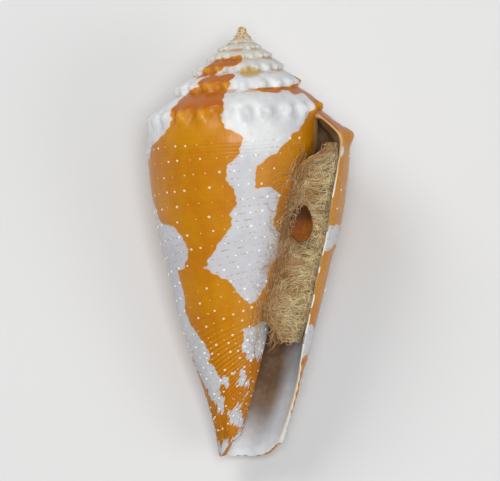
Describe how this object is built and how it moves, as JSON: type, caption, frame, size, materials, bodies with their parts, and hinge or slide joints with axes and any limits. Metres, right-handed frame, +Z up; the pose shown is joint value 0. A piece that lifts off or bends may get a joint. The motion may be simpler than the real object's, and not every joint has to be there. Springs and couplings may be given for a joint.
{
  "type": "conus aurantius shell",
  "caption": "Nodulose orange and white cone shell lying on its back, mouth up, with a cotton wad and the horny operculum held in its mouth.",
  "frame": {"origin": "centre of the bounding box on the resting plane", "axes": "+Y along the shell towards the apex, +Z up out of the mouth, +X towards the outer lip"},
  "size_m": [0.0286, 0.0594, 0.0266],
  "materials": {
    "shell": "satin lime shell, orange with white patches",
    "cotton": "matt teased fibres",
    "horn": "satin translucent horn"
  },
  "bodies": {
    "root": {"shell": "shell", "cotton_wad": "cotton", "operculum": "horn"}
  },
  "joints": []
}
